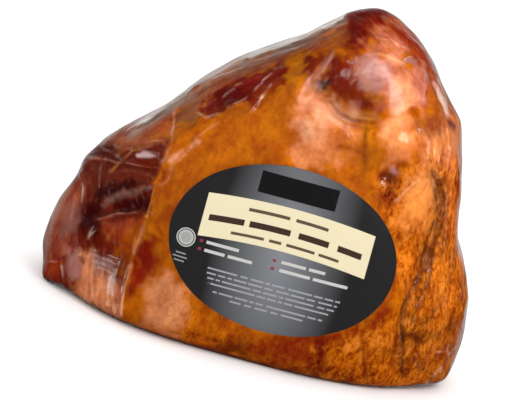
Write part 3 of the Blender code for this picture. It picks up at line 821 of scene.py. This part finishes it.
# %% The milkiness of the film, and its painted glints
MILKY_AND_GLINTS = {
    "lower bag": ("#C4C2BC", 0.84, 1.6,
        [(124, 133), (143, 118), (184, 88), (190, 88), (173, 103), (149, 121)]),
    "thin bag": ("#A8A49C", 0.75, 1.2, [(184, 88), (234, 59), (236, 62), (187, 92)]),
    "upper bag": ("#CCC8C2", 0.84, 1.4,
        [(240, 57), (262, 46), (300, 28), (346, 13), (343, 19), (326, 28), (306, 39), (280, 48),
         (250, 60)]),
    "upper bag, white": ("#DAD8D4", 0.75, 1.2, [(306, 30), (346, 13), (342, 18), (322, 29), (308, 35)]),
    "bag shade": ("#7C5A4C", 0.35, 1.2,
        [(186, 96), (246, 62), (284, 49), (322, 32), (322, 36), (286, 54), (248, 68)]),
    "right bag": ("#DCC0AE", 0.55, 1.2, [(436, 84), (442, 96), (449, 116), (444, 112), (438, 98)]),
    # Painted glint: a pinkish-white glint of the lights on the film by the knot.
    "glint patch": ("#CDA6A6", 0.70, 1.4, [(135, 153), (146, 151), (159, 156), (150, 158), (137, 158)]),
    "grey blade": ("#8A7064", 0.16, 2.0, [(103, 203), (118, 192), (150, 186), (150, 189), (124, 198)]),
    "left veil": ("#9C6A60", 0.28, 4.0, [(66, 200), (80, 198), (76, 232), (60, 236)]),
    # Partly milky film and partly a painted reflection at the glancing edge.
    "left edge, milk and painted sheen": ("#B08A7C", 0.30, 3.0,
        [(78, 166), (60, 192), (42, 236), (40, 268), (45, 268), (52, 230), (74, 186)]),
    "foot veil": ("#B88C86", 0.25, 4.0, [(66, 252), (80, 250), (80, 280), (68, 278)]),
    # Painted glints: the foot's pale streaks and gleam, and the navel's lilac glints.
    "foot, painted glint streaks": ("#D8BAB6", 0.15, 2.2, [(92, 252), (114, 262), (116, 274), (96, 268)]),
    "foot gleam": ("#F0D8CC", 0.35, 2.0, [(109, 278), (116, 272), (113, 296), (109, 294)]),
    "navel, painted glints": ("#A88C98", 0.15, 1.8, [(312, 84), (318, 78), (323, 84), (318, 90)]),
    # Painted reflection: the broad lilac-pink gleam of the softbox over the peach.
    "peach, painted softbox reflection": ("#D8A8A4", 0.22, 5.0, [(357, 62), (378, 54), (392, 70), (378, 94), (360, 88)]),
}
EDGE_RIGHT, EDGE_UP = 0.87, 0.5
HAZE_STREAKS = ((1.0, 0.0042, 31.0), (0.6, 0.0017, 32.0))
up_the_edge = np.array(view_right) * EDGE_RIGHT + np.array(view_up) * EDGE_UP
off_the_edge = np.array(view_up) * EDGE_RIGHT - np.array(view_right) * EDGE_UP
edge_place = np.stack((body @ up_the_edge * CREASE_STRETCH, body[:, 1], body @ off_the_edge), axis=1)
streaked = np.clip(0.5 + 0.9 * ripples(edge_place, HAZE_STREAKS), 0.05, 1.0)
haze = 1 - fade(0.45, 0.15, facing) * (1 - streaked)
milky_and_glinting = np.zeros(len(body))
milky_and_glint_colour = np.tile(linear("#C8A898"), (len(body), 1))
for code, strength, softness, corners in MILKY_AND_GLINTS.values():
    share = strength * field(slightly, corners, softness, 0.6 * grain) * fade(-0.10, 0.06, facing) * haze
    milky_and_glinting += share * (1 - milky_and_glinting)
    milky_and_glint_colour += (share / np.maximum(milky_and_glinting, 0.05))[:, None] * (np.array(linear(code)) - milky_and_glint_colour)
note(film, "milky_and_glinting", np.clip(milky_and_glinting, 0, 1))
note(film, "milky_and_glint_colour", np.column_stack((np.clip(milky_and_glint_colour, 0, 1), np.ones(len(body)))))
print(f"{(milky_and_glinting > 0.2).mean() * 100:.0f}% of the film is clearly milky")


# %% [markdown]
# ## Materials
# One small function adds a node, sets it up and links it, so each material reads as a recipe.

# %% A function that adds a node
def new_material(name):
    material = bpy.data.materials.new(name)
    material.use_nodes = True
    material.node_tree.nodes.clear()
    return material


def add_node(material, kind, inputs=None, **settings):
    """Adds a node, sets its properties, and fills each input with a value or links it to an output."""
    tree = material.node_tree
    made = tree.nodes.new("ShaderNode" + kind)
    for name, value in settings.items():
        setattr(made, name, value)
    for name, value in (inputs or {}).items():
        if isinstance(value, bpy.types.NodeSocket):
            tree.links.new(value, made.inputs[name])
        else:
            made.inputs[name].default_value = value
    return made


# %% [markdown]
# **Smoked rind.** Fat and lean under smoke, wet with its own juice. Its colour is the painted one, broken
# up again: by clouds of smoke about 12 mm wide, by the fat's small lobes, about 5 mm wide, which are dark
# between and pale on top, by veins of 2 mm where the rind is coarse, and by fine specks. The film lies
# wet on it, so the meat itself has hardly any gloss: only the film's outside mirrors the lights.

# %% Smoked rind
CLOUD_WIDTH = 0.0120
LOBE_WIDTH = 0.0048
VEIN_WIDTH = 0.0018
SPECK_WIDTH = 0.0016
LONGER_UPWARDS = (1.0, 1.0, 0.62)
GOLD_SHADE = (0.66, 0.40, 0.25, 1)
RED_SHADE = (0.50, 0.20, 0.08, 1)

rind = new_material("smoked_rind")
place = add_node(rind, "TexCoord").outputs["Object"]
tall_place = add_node(rind, "Mapping", {"Vector": place, "Scale": LONGER_UPWARDS}).outputs["Vector"]
# The painted colour, with its painted highlights and painted shade.
skin_with_painted_light = add_node(rind, "Attribute", attribute_name="skin_colour_and_painted_light").outputs["Color"]
gold = add_node(rind, "Attribute", attribute_name="gold_share").outputs["Fac"]
coarse_part = add_node(rind, "Attribute", attribute_name="coarse_share").outputs["Fac"]
strengths = []
for least in (0.55, 0.12):
    strength = add_node(rind, "MapRange", {"Value": coarse_part, "To Min": least, "To Max": 1.0})
    strength = add_node(rind, "Math", {0: strength.outputs["Result"], 1: gold}, operation="MULTIPLY")
    strengths.append(strength.outputs[0])
wide_strength, fine_strength = strengths
shade = add_node(
    rind, "Mix", {"Factor": coarse_part, "A": GOLD_SHADE, "B": RED_SHADE}, data_type="RGBA"
).outputs["Result"]
glow = add_node(
    rind, "Mix",
    {"Factor": coarse_part, "A": paint("#DC9626"), "B": paint("#FFB05A")}, data_type="RGBA",
).outputs["Result"]
smoked = skin_with_painted_light
for width, darkest, palest, strength in (
    (CLOUD_WIDTH, 0.80, 0.55, wide_strength),
    (LOBE_WIDTH, 0.85, 0.55, wide_strength),
    (VEIN_WIDTH, 0.85, 0.45, fine_strength),
):
    patches = add_node(
        rind, "TexNoise",
        {"Vector": tall_place, "Scale": 1 / width, "Detail": 2.5, "Roughness": 0.5, "Distortion": 0.9},
    ).outputs["Fac"]
    for full_at, most, tint, blend in ((0.30, darkest, shade, "MULTIPLY"), (0.72, palest, glow, "MIX")):
        share = add_node(
            rind, "MapRange",
            {"Value": patches, "From Min": 0.50, "From Max": full_at, "To Min": 0.0, "To Max": most},
        )
        share = add_node(rind, "Math", {0: share.outputs["Result"], 1: strength}, operation="MULTIPLY")
        smoked = add_node(
            rind, "Mix",
            {"Factor": share.outputs[0], "A": smoked, "B": tint}, data_type="RGBA", blend_type=blend,
        ).outputs["Result"]
specks = add_node(
    rind, "TexNoise",
    {"Vector": place, "Scale": 1 / SPECK_WIDTH, "Detail": 2.0, "Roughness": 0.5},
)
speck_share = add_node(
    rind, "MapRange",
    {"Value": specks.outputs["Fac"], "From Min": 0.36, "From Max": 0.64, "To Min": 1.09, "To Max": 0.93},
)
speckled = add_node(
    rind, "HueSaturation",
    {"Color": smoked, "Value": speck_share.outputs["Result"], "Saturation": 1.05},
)
pores = add_node(
    rind, "Bump",
    {"Height": specks.outputs["Fac"], "Strength": 0.25, "Distance": 0.0004},
)
surface = add_node(
    rind, "BsdfPrincipled",
    {"Base Color": speckled.outputs["Color"], "Roughness": 0.45, "IOR": 1.38, "Specular IOR Level": 0.05,
     "Normal": pores.outputs["Normal"]},
)
add_node(rind, "OutputMaterial", {"Surface": surface.outputs["BSDF"]})
meat.data.materials.append(rind)

# %% [markdown]
# ** Clear barrier film.** A blown sheet of layered plastic, glossy on both sides, with an IOR of 1.5. It
# lets light through, mirrors a little of it, more at a glancing angle, and looks milky where it was
# painted so; in a few of those places the paint is a painted glint or reflection of the lights. Bump
# draws what is finer than the net: the crest of each pleat, from the kept place beside it, and the fine
# creases that run along with it.

# %% Clear barrier film
CREST_WIDTH = 0.0006
PALE_WIDTH = 0.0005
CREASE_WIDTH = 0.0017
CRINKLE_WIDTH = 0.006
CREASE_HEIGHT = 0.0011
CRINKLE_HEIGHT = 0.0010

clear = new_material("clear_barrier_film")
place = add_node(clear, "TexCoord").outputs["Object"]
run = add_node(clear, "Attribute", attribute_name="crease_place").outputs["Vector"]
amount = add_node(clear, "Attribute", attribute_name="crease_amount").outputs["Fac"]
off = add_node(clear, "Attribute", attribute_name="pleat_off").outputs["Fac"]
height = add_node(clear, "Attribute", attribute_name="pleat_height").outputs["Fac"]
crest_paleness_and_glint = add_node(clear, "Attribute", attribute_name="pleat_milk_and_glint").outputs["Fac"]
milk_and_glint_colour = add_node(clear, "Attribute", attribute_name="milky_and_glint_colour").outputs["Color"]
milk_and_glints = add_node(clear, "Attribute", attribute_name="milky_and_glinting").outputs["Fac"]


def crest(width, amplitude):
    """A smooth hill this wide on each side of the nearest pleat, e to the minus (off / width) squared."""
    hill = off
    for operation, other in (
        ("DIVIDE", width), ("POWER", 2.0), ("MULTIPLY", -1.0), ("EXPONENT", 0.0), ("MULTIPLY", amplitude),
    ):
        hill = add_node(clear, "Math", {0: hill, 1: other}, operation=operation).outputs[0]
    return hill


crest_bump = add_node(
    clear, "Bump", {"Height": crest(CREST_WIDTH, height), "Strength": 0.7, "Distance": 0.8}
)
fine = add_node(
    clear, "TexNoise",
    {"Vector": run, "Scale": 1 / CREASE_WIDTH, "Detail": 3.0, "Roughness": 0.55},
)
fine_bump = add_node(
    clear, "Bump",
    {"Height": fine.outputs["Fac"], "Strength": amount, "Distance": CREASE_HEIGHT,
     "Normal": crest_bump.outputs["Normal"]},
)
crinkle = add_node(
    clear, "TexNoise",
    {"Vector": place, "Scale": 1 / CRINKLE_WIDTH, "Detail": 4.0, "Roughness": 0.5},
)
bumped = add_node(
    clear, "Bump",
    {"Height": crinkle.outputs["Fac"], "Strength": 0.4, "Distance": CRINKLE_HEIGHT,
     "Normal": fine_bump.outputs["Normal"]},
).outputs["Normal"]
mirrored = add_node(clear, "Fresnel", {"IOR": 1.5, "Normal": bumped})
see_through = add_node(clear, "BsdfTransparent")
gleam = add_node(clear, "BsdfGlossy", {"Color": (1, 1, 1, 1), "Roughness": 0.10, "Normal": bumped})
thin_sheet = add_node(
    clear, "MixShader",
    {"Fac": mirrored.outputs["Fac"], 1: see_through.outputs["BSDF"], 2: gleam.outputs["BSDF"]},
)

# %% Milky layer: painted milk and glints, pale pleat crests (partly glints), thin streaks along the creases
coming_and_going = add_node(
    clear, "MapRange",
    {"Value": crinkle.outputs["Fac"], "From Min": 0.42, "From Max": 0.60, "To Min": 0.0, "To Max": 0.70},
)
pale_crest_and_glint = add_node(
    clear, "Math", {0: crest(PALE_WIDTH, crest_paleness_and_glint), 1: coming_and_going.outputs["Result"]},
    operation="MULTIPLY",
).outputs[0]
streaks = add_node(
    clear, "MapRange",
    {"Value": fine.outputs["Fac"], "From Min": 0.60, "From Max": 0.74, "To Min": 0.0, "To Max": 0.10},
)
streak_share = add_node(clear, "Math", {0: streaks.outputs["Result"], 1: amount}, operation="MULTIPLY")
lines = add_node(clear, "Math", {0: pale_crest_and_glint, 1: streak_share.outputs[0]}, operation="MAXIMUM")
all_milk_and_glints = add_node(clear, "Math", {0: lines.outputs[0], 1: milk_and_glints}, operation="MAXIMUM")
line_colour = add_node(
    clear, "Mix",
    {"Factor": lines.outputs[0], "A": milk_and_glint_colour, "B": paint("#E2B49C")},
    data_type="RGBA",
)
milky_and_glint_layer = add_node(
    clear, "BsdfPrincipled",
    {"Base Color": line_colour.outputs["Result"], "Roughness": 0.22, "IOR": 1.5, "Normal": bumped},
)
whole_film = add_node(
    clear, "MixShader",
    {"Fac": all_milk_and_glints.outputs[0], 1: thin_sheet.outputs["Shader"], 2: milky_and_glint_layer.outputs["BSDF"]},
)
add_node(clear, "OutputMaterial", {"Surface": whole_film.outputs["Shader"]})
film.data.materials.append(clear)

# %% [markdown]
# ## The label
# An oval of coated paper, stuck flat across the broad side. It is made as by hand: a grid is added,
# rounded to an oval, stood upright and pressed onto the film with Shrinkwrap, and Solidify gives the
# paper its thickness.

# %% The label's shape
LABEL_GRID = (130, 100)
PAPER = 0.0003
PAPER_GAP = 0.00022
LEAN = math.radians(10.4)
START_IN_FRONT = 0.02
LABEL_SMOOTH = 6

bpy.ops.object.select_all(action="DESELECT")
bpy.ops.mesh.primitive_grid_add(x_subdivisions=LABEL_GRID[0], y_subdivisions=LABEL_GRID[1], size=2)
label = bpy.context.object
label.name = "paper_label"
square = points_of(label)
oval_u = square[:, 0] * np.sqrt(1 - square[:, 1] ** 2 / 2)
oval_v = square[:, 1] * np.sqrt(1 - square[:, 0] ** 2 / 2)
flat = np.stack(
    (
        label_centre.x + LABEL_HALF[0] * oval_u,
        np.full(len(square), cad_low.y - START_IN_FRONT),
        label_centre.z + LABEL_HALF[1] * oval_v,
    ),
    axis=1,
)
move_points(label, flat)
apply_modifier(
    label, "SHRINKWRAP", target=film, wrap_method="PROJECT", use_project_y=True,
    use_positive_direction=True, use_negative_direction=False,
)
apply_modifier(label, "SMOOTH", factor=SMOOTHING, iterations=LABEL_SMOOTH)
pressed = points_of(label)
pressed[:, 1] -= PAPER_GAP
move_points(label, pressed)
apply_modifier(label, "SOLIDIFY", thickness=PAPER, offset=1.0)
only(label)
bpy.ops.object.shade_smooth_by_angle(angle=math.radians(40))
printed_at = points_of(label)
note(
    label, "print_place",
    np.stack(
        (
            printed_at[:, 0] - label_centre.x,
            (printed_at[:, 2] - label_centre.z) / math.cos(LEAN),
            np.zeros(len(printed_at)),
        ),
        axis=1,
    ),
)
print("the label measures", [round(2000 * half, 1) for half in LABEL_HALF], "mm before it is bent")

# %% [markdown]
# **Coated label paper.** The print is black with a silvery sheen down the middle, a cream band, a bare
# plaque, a plain ring and rows of plain bars where words would stand. Every shape is worked out from its
# size in millimetres, so it stays sharp however close the camera comes.

# %% Coated label paper
MM = 0.001
paper = new_material("coated_label_paper")
spot = add_node(paper, "Attribute", attribute_name="print_place").outputs["Vector"]
split = add_node(paper, "SeparateXYZ", {"Vector": spot})
across, upward = split.outputs["X"], split.outputs["Y"]
ARCH = 0.0016
GAPS_BELOW = 0.40
arch = add_node(paper, "Math", {0: across, 1: 1 / (30 * MM)}, operation="MULTIPLY")
arch = add_node(paper, "Math", {0: arch.outputs[0], 1: 2.0}, operation="POWER")
arched = add_node(
    paper, "Math", {0: arch.outputs[0], 1: ARCH, 2: upward}, operation="MULTIPLY_ADD"
).outputs[0]
sheen_place = add_node(paper, "Mapping", {"Vector": spot, "Scale": (1 / (34 * MM), 1 / (90 * MM), 1.0)})
sheen = add_node(
    paper, "TexGradient", {"Vector": sheen_place.outputs["Vector"]}, gradient_type="SPHERICAL"
)
printed = add_node(
    paper, "Mix",
    {"Factor": sheen.outputs["Fac"], "A": paint("#1D1B1C"), "B": paint("#707277")},
    data_type="RGBA",
).outputs["Result"]


def print_bars(colour, bars, ground, level_at=upward, gaps=None):
    """Prints bars, each (centre across, centre up, half width, half height) in mm, on the ground colour."""
    covered = None
    for u, v, half_u, half_v in bars:
        beside_it = add_node(paper, "Math", {0: across, 1: u * MM, 2: half_u * MM}, operation="COMPARE")
        level = add_node(paper, "Math", {0: level_at, 1: v * MM, 2: half_v * MM}, operation="COMPARE")
        bar = add_node(
            paper, "Math", {0: beside_it.outputs[0], 1: level.outputs[0]}, operation="MULTIPLY"
        )
        if covered is None:
            covered = bar
        else:
            covered = add_node(
                paper, "Math", {0: covered.outputs[0], 1: bar.outputs[0]}, operation="MAXIMUM"
            )
    if gaps is not None:
        covered = add_node(paper, "Math", {0: covered.outputs[0], 1: gaps}, operation="MULTIPLY")
    mixed = add_node(
        paper, "Mix",
        {"Factor": covered.outputs[0], "A": ground, "B": paint(colour)},
        data_type="RGBA",
    )
    return mixed.outputs["Result"]


def word_gaps(width, pitch, level_at=upward):
    """Breaks each row of bars into pieces about twice this long in mm, as words break a line."""
    along = add_node(paper, "Math", {0: across, 1: 1 / (width * MM)}, operation="MULTIPLY")
    row = add_node(paper, "Math", {0: level_at, 1: 1 / (pitch * MM)}, operation="MULTIPLY")
    row = add_node(paper, "Math", {0: row.outputs[0]}, operation="ROUND")
    where = add_node(paper, "CombineXYZ", {"X": along.outputs[0], "Y": row.outputs[0]})
    chance = add_node(paper, "TexNoise", {"Vector": where.outputs["Vector"], "Scale": 1.0, "Detail": 0.0})
    return add_node(
        paper, "Math", {0: chance.outputs["Fac"], 1: GAPS_BELOW}, operation="GREATER_THAN"
    ).outputs[0]


printed = print_bars("#C7BC9C", [(0.0, 10.6, 41.0, 10.6)], printed, arched)
printed = print_bars("#0D0C0D", [(0.0, 30.0, 19.0, 5.2)], printed)
title = [(-29.5, 9.4, 8.5, 1.5), (-8.5, 9.4, 10.0, 1.5), (13.0, 9.4, 7.5, 1.5), (31.0, 9.4, 6.0, 1.5)]
printed = print_bars("#3A2418", title, printed, arched)
subtitles = [(-10.5, 16.2, 10.0, 0.8), (10.5, 16.2, 8.0, 0.8), (-18.0, 3.6, 8.0, 0.7),
             (-4.5, 3.6, 3.0, 0.7), (8.0, 3.6, 7.0, 0.7), (22.0, 3.6, 5.0, 0.7)]
printed = print_bars("#54402E", subtitles, printed, arched)
claims = [(-28.0, -5.0, 8.0, 0.75), (-31.0, -9.0, 5.0, 0.75), (-18.5, -9.0, 6.0, 0.75),
          (7.0, -5.0, 6.0, 0.75), (18.5, -5.0, 4.0, 0.75), (8.5, -9.0, 7.5, 0.75), (26.0, -9.0, 8.5, 0.75)]
printed = print_bars("#A8A7A4", claims, printed)
ticks = [(-38.5, -5.0, 0.8, 0.7), (-38.5, -9.0, 0.8, 0.7), (-2.5, -5.0, 0.8, 0.7), (-2.5, -9.0, 0.8, 0.7)]
printed = print_bars("#7C2434", ticks, printed)
ROW = 2.4
lines = [(0.0, -7 * ROW - ROW * row, 33.0 - 0.9 * row, 0.42) for row in range(4)]
lines += [(0.0, -11.5 * ROW - ROW * row, 27.0 - 9.0 * row, 0.42) for row in range(2)]
printed = print_bars("#85868A", lines, printed, gaps=word_gaps(2.6, ROW / 2))
small = [(-46.5, -13.5 - 1.9 * row, 2.5 + (row == 1), 0.35) for row in range(3)]
printed = print_bars("#7C7C7A", small, printed)

# %% A plain ring on the label, and the paper's finish
ring_place = add_node(
    paper, "VectorMath", {0: spot, 1: (-46.0 * MM, -5.5 * MM, 0.0)}, operation="DISTANCE"
)
for radius, tint in ((4.6, "#A9A9A6"), (4.1, "#3A3A3A"), (3.6, "#9C9C99"), (2.6, "#8A8A87")):
    inside = add_node(
        paper, "Math", {0: ring_place.outputs["Value"], 1: radius * MM}, operation="LESS_THAN"
    )
    printed = add_node(
        paper, "Mix",
        {"Factor": inside.outputs[0], "A": printed, "B": paint(tint)},
        data_type="RGBA",
    ).outputs["Result"]
fibre = add_node(paper, "TexNoise", {"Vector": spot, "Scale": 1 / (0.9 * MM), "Detail": 3.0})
calendered = add_node(
    paper, "Bump", {"Height": fibre.outputs["Fac"], "Strength": 0.05, "Distance": 0.0001}
)
coated = add_node(
    paper, "BsdfPrincipled",
    {"Base Color": printed, "Roughness": 0.38, "IOR": 1.46, "Normal": calendered.outputs["Normal"]},
)
add_node(paper, "OutputMaterial", {"Surface": coated.outputs["BSDF"]})
label.data.materials.append(paper)

# %% [markdown]
# ## Floor and light
# A plain pale floor, wide enough to have no edge in view, and soft studio light: an even pale
# surrounding, one softbox from the upper right that puts a broad gleam on the film, and a narrow one from
# the left that picks out the pleats. What mirrors in the film is a white backdrop behind the ham and a
# dark room in front of it, as in a product studio. So the edges gleam, and the middle keeps its deep
# colour.

# %% Floor and light
FLOOR_DROP = 0.0001
FLOOR_SIZE = 60
MATT_WHITE = (0.82, 0.82, 0.82, 1)
bpy.ops.object.select_all(action="DESELECT")
bpy.ops.mesh.primitive_plane_add(size=FLOOR_SIZE, location=(0, 0, -FLOOR_DROP))
floor = bpy.context.object
floor.name = "pale_floor"
floor_paint = new_material("matt_white_floor")
matt = add_node(floor_paint, "BsdfPrincipled", {"Base Color": MATT_WHITE, "Roughness": 0.9})
add_node(floor_paint, "OutputMaterial", {"Surface": matt.outputs["BSDF"]})
floor.data.materials.append(floor_paint)
floor.visible_glossy = False


def softbox(place, target, size, watts):
    bpy.ops.object.light_add(type="AREA", location=place)
    lamp = bpy.context.object
    lamp.data.shape = "RECTANGLE"
    lamp.data.size, lamp.data.size_y = size
    lamp.data.energy = watts
    lamp.rotation_euler = (Vector(target) - Vector(place)).to_track_quat("-Z", "Y").to_euler()
    return lamp


MIDDLE = (0.0, 0.0, 0.08)
SURROUNDING = 1.5
softbox((0.55, -0.75, 0.95), MIDDLE, (0.60, 0.45), 5)
softbox((-1.0, -0.55, 0.45), MIDDLE, (0.10, 0.8), 0.5)

world = bpy.data.worlds.new("pale_studio")
bpy.context.scene.world = world
world.use_nodes = True
world.node_tree.nodes.clear()
way = add_node(world, "TexCoord").outputs["Generated"]
behind = add_node(world, "SeparateXYZ", {"Vector": way}).outputs["Y"]
backdrop = add_node(
    world, "MapRange",
    {"Value": behind, "From Min": 0.80, "From Max": 0.97, "To Min": 0.03, "To Max": 0.55},
)
mirrored_ray = add_node(world, "LightPath").outputs["Is Glossy Ray"]
brightness = add_node(
    world, "Mix",
    {"Factor": mirrored_ray, "A": SURROUNDING, "B": backdrop.outputs["Result"]}, data_type="FLOAT",
)
sky = add_node(world, "Background", {"Color": (1, 1, 1, 1), "Strength": brightness.outputs["Result"]})
add_node(world, "OutputWorld", {"Surface": sky.outputs["Background"]})
bpy.context.scene.view_settings.view_transform = "Standard"

# %% [markdown]
# ## The pieces on one body
# Film, meat and label ride on the one body. Film and meat together stand for the solid ham, and the fine
# label stands for the solid one.

# %% What each piece stands for
for piece, node, slot in (
    (film, "sealed_ham", "ham_in_clear_film"),
    (meat, "sealed_ham", "ham_in_clear_film"),
    (label, "label", "label_paper"),
):
    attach(piece, "root")
    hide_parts(node)
    print(piece.name, "has", sum(len(face.vertices) - 2 for face in piece.data.polygons), "triangles")
